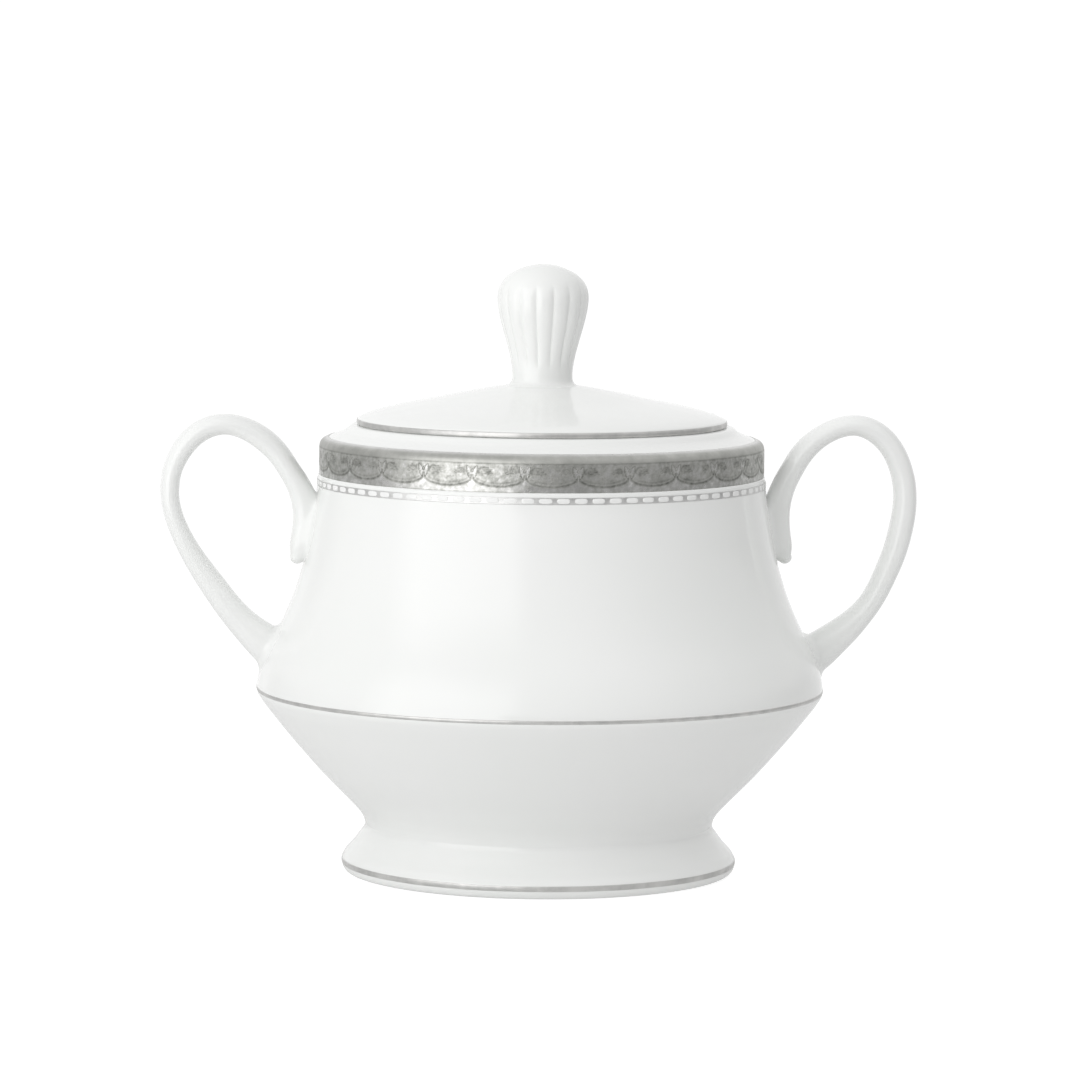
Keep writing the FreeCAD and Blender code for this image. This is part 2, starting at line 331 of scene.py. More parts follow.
PORCELAIN = porcelain_material()
BISQUE = unglazed_material()
LINE = platinum_line_material()
ETCHED = etched_platinum_material()
ENAMEL = enamel_material()
LADDER = ladder_material()

for name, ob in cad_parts.items():
    mat = {"rim_band": ETCHED, "bead_border": ENAMEL, "belly_line": LINE, "foot_line": LINE,
           "lid_edge_line": LINE}.get(name, PORCELAIN)
    for s in ob.material_slots:
        s.material = mat
    if not ob.material_slots:
        ob.data.materials.append(mat)


def place(ob, body, slot, *nodes):
    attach(ob, body)
    if nodes:
        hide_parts(*nodes)
    return ob


# ------------------------------------------------------------------ vessel
SEG = 288
CUP = [(34.40, 9.5), (34.68, 10.6), (35.5, 12.0), (37.3, 14.0), (40.24, 17.0), (43.15, 20.0), (46.7, 24.0),
       (50.1, 28.0), (53.3, 32.0), (54.75, 33.9), (55.45, 34.95), (55.82, 35.55), (55.95, 36.15)]
BELL = [(55.95, 36.65), (55.93, 37.2), (55.75, 38.5), (55.35, 40.3), (54.70, 42.2), (53.95, 44.0), (53.05, 45.8),
        (51.40, 48.9), (49.98, 52.0), (48.78, 55.0), (47.80, 58.0), (46.95, 61.0), (45.80, 66.0), (44.96, 71.0),
        (44.38, 75.0), (44.10, 78.3)]
STEP = [(44.10, 78.3), (44.07, 78.55), (43.94, 78.68)]
UNDER_BAND = [(43.94, 78.68), (43.70, 78.90), (43.70, 84.05)]
CORNER = [(43.70, 84.05), (43.64, 84.60), (43.46, 85.08), (43.16, 85.42), (42.75, 85.66)]
SHOULDER = [(42.75, 85.66), (42.0, 85.97), (41.2, 86.30), (40.5, 86.60), (39.4, 87.03), (38.6, 87.50), (38.05, 88.03),
            (37.58, 88.36), (36.95, 88.50)]
SEAT = [(36.95, 88.50), (34.35, 88.50)]
MOUTH = [(34.35, 88.50), (33.95, 88.36), (33.80, 88.0), (33.80, 86.3), (34.05, 85.2), (34.85, 84.5), (36.40, 84.05),
         (38.80, 83.25), (40.45, 81.7), (41.25, 79.5), (41.65, 76.0), (42.42, 69.5), (43.1, 65.5), (44.15, 61.0),
         (46.00, 55.0), (48.35, 49.3), (51.00, 44.0), (52.65, 39.5), (52.80, 37.0), (51.90, 34.6), (50.1, 32.1),
         (46.75, 28.2), (43.6, 24.6), (40.00, 20.6), (36.7, 17.6), (32.0, 15.2), (24.0, 14.0), (12.0, 13.2), (0.0, 13.0)]
BASE = [(0.0, 9.5), (31.0, 9.5), (34.40, 9.5)]


def profile_of(*runs, step=0.5):
    pts, corners = [], []
    for run in runs:
        s = [tuple(x) for x in natural_spline(run, step)]
        if pts and math.dist(pts[-1], s[0]) < 1e-6:
            s = s[1:]
        pts.extend(s)
        corners.append(len(pts) - 1)
    while math.dist(pts[0], pts[-1]) < 1e-6:
        pts.pop()
    return pts, corners


pts, _ = profile_of(CUP, BELL, STEP, UNDER_BAND, CORNER, SHOULDER, SEAT, MOUTH, BASE, step=0.8)
OUT = [p for p in natural_spline(CUP, 0.25)] + [p for p in natural_spline(BELL, 0.25)]
OUT = np.array(OUT + [(43.8, 80.0), (43.8, 86.0)])
waist_ring = [i for i, p in enumerate(pts) if abs(p[0] - 34.40) < 1e-6 and abs(p[1] - 9.5) < 1e-6]
bowl = turn("bowl_shell", pts, waist_ring, SEG, PORCELAIN)
place(bowl, "bowl", "porcelain", "bowl_body")

# ------------------------------------------------------------------- foot
FOOT_OUT = [(34.40, 9.5), (34.44, 9.0), (34.75, 8.3), (35.35, 7.5), (36.42, 6.0), (37.72, 4.55), (38.45, 3.65),
            (38.80, 3.0), (38.96, 2.75)]
FOOT_LAND = [(38.96, 2.75), (38.96, 1.85)]
FOOT_ROLL = [(38.96, 1.85), (38.86, 1.25), (38.55, 0.62), (38.05, 0.18), (37.45, 0.0)]
FOOT_RING = [(37.45, 0.0), (36.45, 0.0)]
FOOT_IN = [(36.45, 0.0), (36.02, 0.14), (35.55, 0.75), (34.60, 2.4), (33.0, 4.3), (31.75, 6.4), (31.15, 8.2), (31.0, 9.5)]
FOOT_TOP = [(31.0, 9.5), (34.40, 9.5)]
fp, fc = profile_of(FOOT_OUT, FOOT_LAND, FOOT_ROLL, FOOT_RING, FOOT_IN, FOOT_TOP, step=0.35)
tops = [i for i, p in enumerate(fp) if abs(p[1] - 9.5) < 1e-6]
foot = turn("foot_ring", fp, tops, SEG, PORCELAIN)
foot.data.materials.append(BISQUE)
for f in foot.data.polygons:
    zs = [foot.data.vertices[v].co.z for v in f.vertices]
    if max(zs) < 0.00003:
        f.material_index = 1
place(foot, "bowl", "porcelain", "pedestal_foot")


# ----------------------------------------------------- painted thin lines
def painted_line(name, line_pts, thickness, body, node, wobble=0.035, seed=0.0, segs=360):
    """a line of metal laid on the surface: line_pts are (r, z) of its lower
    edge, middle and upper edge on the wall; it is crowned, and its edges
    wander a little as a hand-lined band does"""
    s = natural_spline(line_pts, 0.08)
    n = len(s)
    tang = np.gradient(s, axis=0)
    tang /= np.linalg.norm(tang, axis=1)[:, None]
    nor = np.stack([tang[:, 1], -tang[:, 0]], 1)
    if nor[n // 2][0] < 0:
        nor = -nor
    verts, rings = [], []
    for k in range(segs):
        a = 2 * math.pi * k / segs
        ring = []
        wl = wobble * (noise.noise(Vector((math.cos(a) * 3, math.sin(a) * 3, seed))) + 0.5 * noise.noise(Vector((math.cos(a) * 11, math.sin(a) * 11, seed))))
        wh = wobble * (noise.noise(Vector((math.cos(a) * 3, math.sin(a) * 3, seed + 7))) + 0.5 * noise.noise(Vector((math.cos(a) * 11, math.sin(a) * 11, seed + 7))))
        for i in range(n):
            u = i / (n - 1)
            lift = thickness * (1 - abs(2 * u - 1) ** 4) ** 0.5
            p = s[i] + tang[i] * (wl * (1 - u) + wh * u) + nor[i] * lift
            ring.append(p)
        for i in reversed(range(n)):
            u = i / (n - 1)
            p = s[i] + tang[i] * (wl * (1 - u) + wh * u) - nor[i] * 0.06
            ring.append(p)
        row = []
        for p in ring:
            row.append(len(verts))
            verts.append((p[0] * math.cos(a) * MM, p[0] * math.sin(a) * MM, p[1] * MM))
        rings.append(row)
    faces = []
    m = len(rings[0])
    for k in range(segs):
        A, B = rings[k], rings[(k + 1) % segs]
        for i in range(m):
            j = (i + 1) % m
            faces.append([A[i], A[j], B[j], B[i]])
    ob = new_object(name, verts, faces, (), LINE)
    return place(ob, body, "platinum", node)


painted_line("belly_platinum_line", [(55.84, 35.98), (55.97, 36.38), (55.94, 36.82)], 0.06, "bowl", "belly_line", seed=1.0)
painted_line("foot_platinum_line", [(38.91, 1.58), (38.97, 2.12), (38.92, 2.74)], 0.07, "bowl", "foot_line", seed=2.0)

# --------------------------------------------------------------- rim band
MOTIFS = 27
PITCH = 2 * math.pi / MOTIFS
BAND_PHASE = math.radians(-92.5)
BEAD_PHASE = math.radians(-93.9)


def smooth(e0, e1, x):
    t = np.clip((x - e0) / (e1 - e0), 0, 1)
    return t * t * (3 - 2 * t)


def ridge(d, w):
    return np.exp(-(d / w) ** 2)


def leaf(u, v, cu, cv, ang, length, width):
    """height of one pointed leaf that starts at (cu, cv) and runs along ang"""
    x = (u - cu) * math.cos(ang) + (v - cv) * math.sin(ang)
    y = -(u - cu) * math.sin(ang) + (v - cv) * math.cos(ang)
    t = np.clip(x / length, 0, 1)
    half = width * np.sqrt(np.clip(np.sin(np.pi * t ** 0.8), 0, 1)) + 1e-6
    inside = np.clip(1 - (y / half) ** 2, 0, 1) * ((x > 0) & (x < length))
    vein = 1 - 0.45 * ridge(y, width * 0.22) * ((x > 0) & (x < length))
    return inside * vein


def relief(s, v):
    """s: mm along the wall from the middle of a lunette (-h .. h), v: mm up
    the band from its lower edge; returns 0 in the cut lines and the pits of
    the ground, about 0.5 on the plain ground, 1 on the polished places"""
    h = 43.9 * PITCH / 2
    q = np.sqrt(np.clip(1 - (s / h) ** 2, 0, 1))
    arc = 3.15 - 1.90 * q
    nrm = 1 / np.sqrt(1 + np.clip((1.90 * s / (h * h * np.maximum(q, 0.25))) ** 2, 0, 6))
    d = (v - arc) * nrm
    out = 0.50 + 0.0 * s
    # plain border under the hanging arcs, rising to a cusp where two meet
    under = 1 - smooth(-0.30, -0.08, d)
    out = out * (1 - under) + 0.68 * under
    out = out - 0.26 * ridge(v - 0.12, 0.16)
    # the arc itself: a cut line with a fainter one inside it; the main cut is only a shallow groove in the mesh, and
    # its dark colour along the arc is painted shade
    out = out - 0.38 * ridge(d - 0.03, 0.27)
    out = out - 0.20 * ridge(d - 0.62, 0.20) * (np.abs(s) < h * 0.82)
    out = out + 0.12 * ridge(d - 0.33, 0.10) * (np.abs(s) < h * 0.88)
    out = out + 0.14 * ridge(np.hypot(np.abs(s) - h, v - 2.1), 0.55)
    cuts = np.zeros_like(s)
    lights = np.zeros_like(s)
    # two acanthus leaves that spread in a V from each meeting
    for sx in (-h, h):
        for ang, ln, wd in ((68, 2.45, 0.40), (112, 2.45, 0.40), (90, 1.75, 0.26)):
            g = leaf(s, v, sx, 2.75, math.radians(ang), ln, wd)
            o = leaf(s, v, sx, 2.62, math.radians(ang), ln + 0.28, wd + 0.17)
            cuts = np.maximum(cuts, (o > 0.02) * (g < 0.05) * 0.80)
            lights = np.maximum(lights, g)
        for k in range(5):
            for sg in (-1, 1):
                cuts = np.maximum(cuts, 0.7 * ridge(np.hypot(s - sx - sg * (0.55 + 0.13 * k), (v - 3.3 - 0.42 * k) * 0.8), 0.10))
    # foliage that curls from the V into the upper corners of the lunette
    for sx, sg, big in ((-h, 1, 1.0), (h, -1, 0.72)):
        cx, cy = sx + sg * 2.35, 4.15
        for t in np.linspace(0, 1, 34):
            rad = 0.86 * big * (1 - 0.80 * t)
            a = math.radians(205 - 520 * t)
            px, py = cx + sg * rad * math.cos(a) * 1.25, cy + rad * math.sin(a)
            cuts = np.maximum(cuts, (0.95 - 0.3 * t) * ridge(np.hypot(s - px, v - py), 0.19))
        for ang, ln, wd in ((20, 1.5, 0.25), (-14, 1.7, 0.27), (52, 1.1, 0.24), (160, 1.0, 0.22), (205, 1.1, 0.22)):
            an = math.radians(ang if sg > 0 else 180 - ang)
            g = leaf(s, v, cx + sg * 0.15, cy - 0.1, an, ln * big, wd)
            cuts = np.maximum(cuts, 0.95 * (g > 0.05) * (1 - 0.6 * g))
            lights = np.maximum(lights, 0.55 * g * (g > 0.55))
        for k in range(7):
            a = math.radians(51.4 * k)
            cuts = np.maximum(cuts, 0.7 * big * ridge(np.hypot(s - cx - 1.25 * math.cos(a), v - cy - 0.78 * math.sin(a)), 0.22))
    # a faint stem and drops along the middle of the lunette
    for k in range(5):
        cuts = np.maximum(cuts, 0.34 * ridge(np.hypot((s - 0.15 + 0.55 * k - 1.1) * 0.8, v - 3.0 - 0.10 * math.cos(k)), 0.14))
    # hatching of the matt ground
    hatch = 0.05 * np.sin(s * 16.0 + 2.2 * np.sin(v * 7.0)) * np.sin(v * 15.0 + 1.6 * np.sin(s * 6.1))
    field = (1 - under) * (1 - smooth(5.45, 5.6, v))
    out = out + hatch * field - 0.50 * cuts * field + 0.28 * lights * field
    # cut line that closes the field above, and the plain strip over it; the strip grows lighter up the corner onto the
    # shoulder, a painted reflection of the bright overhead on the upward-turned metal
    top = smooth(5.60, 5.75, v)
    out = out * (1 - top) + (0.46 + 0.38 * smooth(6.9, 8.4, v)) * top
    out = out - 0.30 * ridge(v - 5.62, 0.13)
    return np.clip(out, 0, 1)


def rim_band():
    per = 48
    n_t = MOTIFS * per
    path = natural_spline([(43.84, 78.62), (43.84, 79.6), (43.84, 81.0), (43.84, 82.5), (43.835, 83.6), (43.81, 84.25),
                           (43.70, 84.75), (43.50, 85.16), (43.20, 85.48), (42.82, 85.70), (42.40, 85.87), (42.0, 86.03)], 0.12)
    tang = np.gradient(path, axis=0)
    step = np.linalg.norm(np.diff(path, axis=0), axis=1)
    tang /= np.linalg.norm(tang, axis=1)[:, None]
    out_n = np.stack([tang[:, 1], -tang[:, 0]], 1)
    v = np.concatenate([[0], np.cumsum(step)])
    rows, total = len(v), v[-1]
    dt = 2 * math.pi / n_t
    loc = (np.arange(per) / per - 0.5) * PITCH * 43.9
    S, Vv = np.meshgrid(loc, v, indexing="ij")
    H = relief(S, Vv)
    # the metal thins and dulls where it ends on the shoulder
    fade = 1 - smooth(total - 0.22, total - 0.02, v)
    H = H * (0.62 + 0.38 * fade)[None]
    inner = 1 - smooth(5.5, 5.8, v)
    verts, rel, rings = [], [], []
    for k in range(n_t):
        a = BAND_PHASE + (k - per / 2) * dt
        col = H[k % per]
        ring = []
        hand = 1 + 0.10 * noise.noise(Vector((math.cos(a) * 9, math.sin(a) * 9, 3.0)))
        edge_wob = 0.05 * noise.noise(Vector((math.cos(a) * 12, math.sin(a) * 12, 5.0)))
        for i in range(rows):
            ends = min(1.0, i / 2.0) * min(1.0, (rows - 1 - i) / 4.0)
            lift = (0.015 + 0.055 * min(col[i], 0.8) * hand) * ends
            w = col[i]
            if inner[i] > 0:
                q = Vector((math.cos(a) * 43.9 * 1.15, math.sin(a) * 43.9 * 1.15, v[i] * 1.15))
                w += (0.26 * noise.noise(q) + 0.16 * noise.noise(q * 2.7)) * inner[i]
            p = path[i] + out_n[i] * lift
            if i > rows - 6:
                p = p + tang[i] * edge_wob * (i - rows + 6) / 5
            ring.append((p[0], p[1], min(1.0, max(0.0, w))))
        ring.append((42.05, 85.80, 0.4))
        ring.append((43.35, 84.20, 0.5))
        ring.append((43.60, 78.67, 0.5))
        row = []
        for r, z, w in ring:
            row.append(len(verts))
            verts.append((r * math.cos(a) * MM, r * math.sin(a) * MM, z * MM))
            rel.append(w)
        rings.append(row)
    faces = []
    m = len(rings[0])
    for k in range(n_t):
        A, B = rings[k], rings[(k + 1) % n_t]
        for i in range(m):
            j = (i + 1) % m
            faces.append([A[i], A[j], B[j], B[i]])
    ob = new_object("etched_rim_band", verts, faces, (), ETCHED)
    at = ob.data.attributes.new("relief", "FLOAT", "POINT")
    at.data.foreach_set("value", rel)
    return place(ob, "bowl", "platinum", "rim_band")


rim_band()

# ------------------------------------------------------------ bead border
BEADS = 82


def bead_border():
    # grey ladder: a shallow ring with thin raised rails, beads sit between
    s = [(44.12, 76.55), (44.26, 76.58), (44.285, 76.66), (44.265, 76.74), (44.225, 77.25), (44.20, 77.76), (44.21, 77.84),
         (44.185, 77.92), (44.05, 77.95), (43.95, 77.25)]
    ladder = turn("bead_ladder", s, (), 492, LADDER)
    place(ladder, "bowl", "bead_enamel", "bead_border")
    verts, faces = [], []
    nu, nv = 20, 7
    rc, zc = 44.20, 77.25
    half_s, half_z, high = 1.25, 0.50, 0.115
    for b in range(BEADS):
        a0 = BEAD_PHASE + 2 * math.pi * b / BEADS
        wob = 1 + 0.05 * noise.noise(Vector((b * 0.37, 1.7, 0.0)))
        hs, hz = half_s * wob, half_z * (1 + 0.05 * noise.noise(Vector((b * 0.53, 4.1, 0.0))))
        rings = []
        for j in range(nv):
            t = j / (nv - 1)
            f = math.cos(t * math.pi / 2) ** 0.55 if j < nv - 1 else 0.0
            up = high * math.sin(t * math.pi / 2) ** 0.9
            if j == nv - 1:
                rings.append([len(verts)])
                r = rc + up
                verts.append((r * math.cos(a0) * MM, r * math.sin(a0) * MM, zc * MM))
                continue
            row = []
            for i in range(nu):
                u = 2 * math.pi * i / nu
                cu, su = math.cos(u), math.sin(u)
                x = math.copysign(abs(cu) ** 0.55, cu) * hs * f
                z = math.copysign(abs(su) ** 0.60, su) * hz * f
                r = rc + up - (0.05 if j == 0 else 0)
                a = a0 + x / rc
                row.append(len(verts))
                verts.append((r * math.cos(a) * MM, r * math.sin(a) * MM, (zc + z) * MM))
            rings.append(row)
        base = len(verts)
        r = rc - 0.05
        verts.append((r * math.cos(a0) * MM, r * math.sin(a0) * MM, zc * MM))
        for j in range(nv - 2):
            A, B = rings[j], rings[j + 1]
            for i in range(nu):
                q = (i + 1) % nu
                faces.append([A[i], A[q], B[q], B[i]])
        A, top = rings[nv - 2], rings[nv - 1][0]
        for i in range(nu):
            faces.append([A[i], A[(i + 1) % nu], top])
            faces.append([rings[0][(i + 1) % nu], rings[0][i], base])
    beads = new_object("enamel_beads", verts, faces, (), ENAMEL)
    place(beads, "bowl", "bead_enamel", "bead_border")


bead_border()

# --------------------------------------------------------------- handles
LEFT = [
    (50.5, 42.4, 8.6, 9.4), (54.6, 45.7, 7.2, 9.0), (57.97, 48.67, 6.0, 8.4), (60.93, 51.88, 5.35, 8.0),
    (64.66, 56.85, 4.95, 7.6), (67.95, 61.60, 4.35, 7.3), (71.35, 67.87, 3.75, 7.0), (72.95, 72.9, 3.6, 7.0),
    (73.14, 76.2, 3.65, 7.0), (72.60, 79.6, 3.75, 7.0), (71.20, 82.75, 3.95, 7.0), (68.80, 85.85, 4.1, 7.1),
    (65.8, 87.80, 4.05, 7.2), (61.97, 88.45, 4.0, 7.3), (57.95, 87.38, 4.25, 7.4), (54.75, 85.40, 4.45, 7.5),
    (52.05, 82.80, 4.35, 7.5), (49.95, 79.75, 4.3, 7.4), (48.05, 76.60, 4.6, 7.2), (46.85, 73.2, 4.9, 7.0),
    (46.50, 69.6, 5.0, 6.8), (46.95, 66.3, 4.9, 6.5), (47.55, 63.9, 4.4, 5.9), (48.35, 62.2, 2.6, 4.4)]
RIGHT = [
    (50.5, 40.9, 8.6, 9.4), (54.6, 43.2, 7.6, 9.0), (57.84, 45.57, 6.6, 8.4), (61.00, 48.15, 5.6, 8.0),
    (63.35, 50.40, 4.85, 7.8), (65.4, 52.85, 4.45, 7.6), (67.1, 55.6, 4.4, 7.4), (68.9, 59.45, 4.5, 7.2),
    (70.30, 62.95, 4.6, 7.0), (71.42, 66.9, 4.65, 7.0), (72.20, 71.0, 4.6, 7.0), (72.40, 74.4, 4.5, 7.0),
    (72.12, 77.4, 4.45, 7.0), (71.25, 80.6, 4.4, 7.0), (69.55, 84.0, 4.4, 7.1), (66.15, 87.27, 4.3, 7.2),
    (62.11, 88.50, 4.0, 7.3), (57.92, 87.60, 3.95, 7.4), (54.50, 85.60, 4.1, 7.5), (51.80, 82.90, 4.3, 7.5),
    (49.85, 79.80, 4.35, 7.4), (48.25, 76.70, 4.6, 7.2), (47.15, 73.1, 4.9, 7.0), (46.90, 69.6, 5.0, 6.8),
    (47.25, 66.3, 4.9, 6.5), (47.85, 63.9, 4.4, 5.9), (48.65, 62.2, 2.6, 4.4)]


def wall_distance(r, z):
    """signed distance in mm from the vessel's outside, and the outward normal"""
    A, B = OUT[:-1], OUT[1:]
    d = B - A
    L2 = (d ** 2).sum(1)
    P = np.stack([r, z], 1)[:, None, :]
    t = np.clip(((P - A[None]) * d[None]).sum(2) / L2[None], 0, 1)
    C = A[None] + t[..., None] * d[None]
    v = P - C
    dist = np.sqrt((v ** 2).sum(2))
    k = dist.argmin(1)
    i = np.arange(len(r))
    n = np.stack([d[k, 1], -d[k, 0]], 1)
    n /= np.linalg.norm(n, axis=1)[:, None]
    sign = np.sign((v[i, k] * n).sum(1))
    return dist[i, k] * np.where(sign == 0, 1, sign), n


def handle(name, rows, side, node):
    rows = np.array(rows)
    line = natural_spline(rows, 0.24)                     # x, z, thick, wide together
    c = line[:, :2]
    t = np.gradient(c, axis=0)
    t /= np.linalg.norm(t, axis=1)[:, None]
    nrm = np.stack([t[:, 1], -t[:, 0]], 1)                 # points out of the loop
    around = 72
    P, N, keep = [], [], []
    m = len(c)
    for i in range(m):
        ht, hw = line[i, 2] / 2, line[i, 3] / 2
        end = 1.0
        for k in range(around):
            u = 2 * math.pi * k / around
            e = 0.88
            cu, su = math.cos(u), math.sin(u)
            a = math.copysign(abs(cu) ** e, cu) * ht * end
            b = math.copysign(abs(su) ** e, su) * hw * end
            # a soft ridge down the outside of the strap
            if cu > 0:
                a *= 1 + 0.05 * max(0, 1 - abs(b) / (0.55 * hw))
            P.append((c[i, 0] + nrm[i, 0] * a, b, c[i, 1] + nrm[i, 1] * a))
            nn = np.array([nrm[i, 0] * cu / ht, su / hw, nrm[i, 1] * cu / ht])
            N.append(nn / np.linalg.norm(nn))
    # rounded tip of the tail: rings that shrink
    tip_c, tip_t, tip_n = c[-1], t[-1], nrm[-1]
    for j in range(1, 13):
        f = math.cos(j / 12.5 * math.pi / 2)
        g = math.sin(j / 12.5 * math.pi / 2)
        ht, hw = line[-1, 2] / 2 * f, line[-1, 3] / 2 * f
        cc = tip_c + tip_t * 1.1 * g
        for k in range(around):
            u = 2 * math.pi * k / around
            cu, su = math.cos(u), math.sin(u)
            a = math.copysign(abs(cu) ** 0.88, cu) * ht
            b = math.copysign(abs(su) ** 0.88, su) * hw
            P.append((cc[0] + tip_n[0] * a, b, cc[1] + tip_n[1] * a))
            nn = np.array([tip_n[0] * cu + tip_t[0] * g, su, tip_n[1] * cu + tip_t[1] * g])
            N.append(nn / np.linalg.norm(nn))
    P, N = np.array(P), np.array(N)
    # a glaze fillet where the handle meets the wall
    r = np.hypot(P[:, 0], P[:, 1])
    d, wn = wall_distance(r, P[:, 2])
    W = np.stack([wn[:, 0] * P[:, 0] / r, wn[:, 0] * P[:, 1] / r, wn[:, 1]], 1)
    T = N - (N * W).sum(1)[:, None] * W
    tl = np.linalg.norm(T, axis=1)
    T /= np.maximum(tl, 1e-6)[:, None]
    wide_root = (P[:, 2] < 57).astype(float)
    near_tip = (1 - smooth(62.5, 66.5, P[:, 2])) * (1 - wide_root)
    R = 1.5 * wide_root + (1.9 - 0.8 * near_tip) * (1 - wide_root)
    x = np.clip(d / R, 0, 1)
    f = R * (1 - np.sqrt(np.clip(1 - (1 - x) ** 2, 0, 1)))
    f = f + 2.5 * np.clip(-d, 0, 0.35)
    P = P + T * (f * np.clip(tl * 1.6, 0, 1))[:, None]
    # the glaze evens out the surface close to the wall
    G = P.reshape(-1, around, 3)
    near = (np.exp(-(np.clip(d, 0, None) / (0.9 * R)) ** 2) * (d > -3.0)).reshape(-1, around)[1:-1, :, None]
    for _ in range(9):
        avg = (G[2:] + G[:-2] + np.roll(G[1:-1], 1, axis=1) + np.roll(G[1:-1], -1, axis=1)) / 4
        G[1:-1] += 0.6 * near * (avg - G[1:-1])
    P = G.reshape(-1, 3)
    # nothing goes deeper than 1.3 mm into the wall
    r = np.hypot(P[:, 0], P[:, 1])
    d, wn = wall_distance(r, P[:, 2])
    W = np.stack([wn[:, 0] * P[:, 0] / r, wn[:, 0] * P[:, 1] / r, wn[:, 1]], 1)
    deep = np.clip(-1.0 - d, 0, None)
    P = P + W * deep[:, None]
    rings = len(P) // around
    verts = [(side * p[0] * MM, p[1] * MM, p[2] * MM) for p in P]
    faces = []
    for i in range(rings - 1):
        for k in range(around):
            q = (k + 1) % around
            faces.append([i * around + k, i * around + q, (i + 1) * around + q, (i + 1) * around + k])
    for i in (0, rings - 1):
        cen = P[i * around:(i + 1) * around].mean(0)
        verts.append((side * cen[0] * MM, cen[1] * MM, cen[2] * MM))
        for k in range(around):
            faces.append([i * around + k, i * around + (k + 1) % around, len(verts) - 1])
    ob = new_object(name, verts, faces, (), PORCELAIN)
    return place(ob, "bowl", "porcelain", node)


handle("handle_left", LEFT, -1, "left_handle")
handle("handle_right", RIGHT, 1, "right_handle")

# ------------------------------------------------------------------- lid
LID_EDGE = [(36.20, 88.52), (36.40, 88.62), (36.44, 88.85), (36.44, 89.35), (36.38, 89.62), (36.12, 89.86)]
LID_DOME = [(36.12, 89.86), (34.85, 90.44), (33.0, 91.06), (29.0, 92.10), (25.0, 92.95), (21.0, 93.73), (17.0, 94.59),
            (13.0, 95.38), (10.0, 95.92), (7.6, 96.29), (5.6, 96.50), (0.0, 96.60)]
LID_UNDER = [(0.0, 93.2), (12.6, 92.35), (24.0, 90.0), (28.0, 88.85), (30.2, 87.6), (30.75, 86.2), (31.0, 85.1),
             (31.35, 84.45), (31.95, 84.20), (32.55, 84.40), (32.92, 85.0), (33.15, 87.4), (33.35, 88.15), (33.9, 88.50)]
LID_FLAT = [(33.9, 88.50), (36.20, 88.52)]
lp, lc = profile_of(LID_EDGE, LID_DOME, LID_UNDER, LID_FLAT, step=0.45)
lid = turn("lid_dome", lp, (), SEG, PORCELAIN)
place(lid, "lid", "porcelain", "lid")
painted_line("lid_platinum_line", [(36.40, 88.60), (36.455, 88.90), (36.455, 89.25), (36.37, 89.66)], 0.06, "lid",
             "lid_edge_line", wobble=0.03, seed=3.0)

# ------------------------------------------------------------------ knob
KNOB = [(7.25, 96.27), (6.75, 96.50), (6.32, 96.80), (6.04, 97.3), (5.93, 98.2), (5.98, 99.4), (6.20, 101.0), (6.53, 102.6),
        (6.98, 104.3), (7.45, 106.0), (8.02, 108.0), (8.52, 110.0), (8.85, 111.8), (9.00, 113.4), (8.88, 114.8),
        (8.42, 116.15), (7.58, 117.35), (6.25, 118.45), (4.6, 119.3), (2.9, 119.88), (1.4, 120.17), (0.0, 120.25)]
FLUTES = 16
FLUTE_PHASE = math.radians(-103.6)


def fluted(r, z, a):
    up = smooth(99.4, 102.2, np.array(z)) * (1 - smooth(113.6, 117.6, np.array(z)))
    depth = 0.38 * float(up) * (0.62 + 0.38 * min(1.0, (r - 5.9) / 3.0))
    w = abs(math.sin((a - FLUTE_PHASE) * FLUTES / 2))
    valley = (1 - w) ** 1.35
    return r - depth * valley, z


kp = [tuple(p) for p in natural_spline(KNOB, 0.22)]
kp = [p for p in kp if p[0] > 1e-3] + [(0.0, 120.25), (0.0, 96.27)]
knob = turn("fluted_knob", kp, (), FLUTES * 20, PORCELAIN, shape=fluted)
place(knob, "lid", "porcelain", "lid_knob")

# ----------------------------------------------------------------- stage
# radiance of the surround by the angle to the right of the camera's own
# direction: near the horizon, and above it
LOW_BAND = [(-178, 1.00), (-150, 0.95), (-135, 0.60), (-80, 0.60), (-64, 2.05), (-17, 2.05), (-12, 0.28), (8, 0.30), (40, 0.43), (120, 0.40),
            (150, 0.78), (178, 1.00)]
MID_BAND = [(-178, 1.00), (-150, 0.95), (-135, 0.74), (-80, 0.74), (-64, 1.95), (-14, 1.95), (-6, 0.76), (60, 0.73), (120, 0.70),
            (150, 0.84), (178, 1.00)]
OVERHEAD = 0.90
TABLE = 0.66
FLOOR_GLOW = 0.30
fl = bmesh.new()
bmesh.ops.create_circle(fl, cap_ends=True, radius=0.30, segments=128)
me = bpy.data.meshes.new("studio_floor")
fl.to_mesh(me)
fl.free()
floor = bpy.data.objects.new("studio_floor", me)
floor.location = (0, 0, -0.00002)
scene.collection.objects.link(floor)
fm = bpy.data.materials.new("studio_floor")
fm.use_nodes = True
fb = fm.node_tree.nodes["Principled BSDF"]
fb.inputs["Base Color"].default_value = (0.50, 0.50, 0.50, 1)
fb.inputs["Roughness"].default_value = 0.9
fb.inputs["Specular IOR Level"].default_value = 0.1
fb.inputs["Emission Color"].default_value = (1, 1, 1, 1)
seen = fm.node_tree.nodes.new("ShaderNodeLightPath")
lev = fm.node_tree.nodes.new("ShaderNodeMapRange")
for k, v in zip(("From Min", "From Max", "To Min", "To Max"), (0.0, 1.0, FLOOR_GLOW, 0.70)):
    lev.inputs[k].default_value = v
fm.node_tree.links.new(seen.outputs["Is Camera Ray"], lev.inputs["Value"])
fm.node_tree.links.new(lev.outputs["Result"], fb.inputs["Emission Strength"])
me.materials.append(fm)

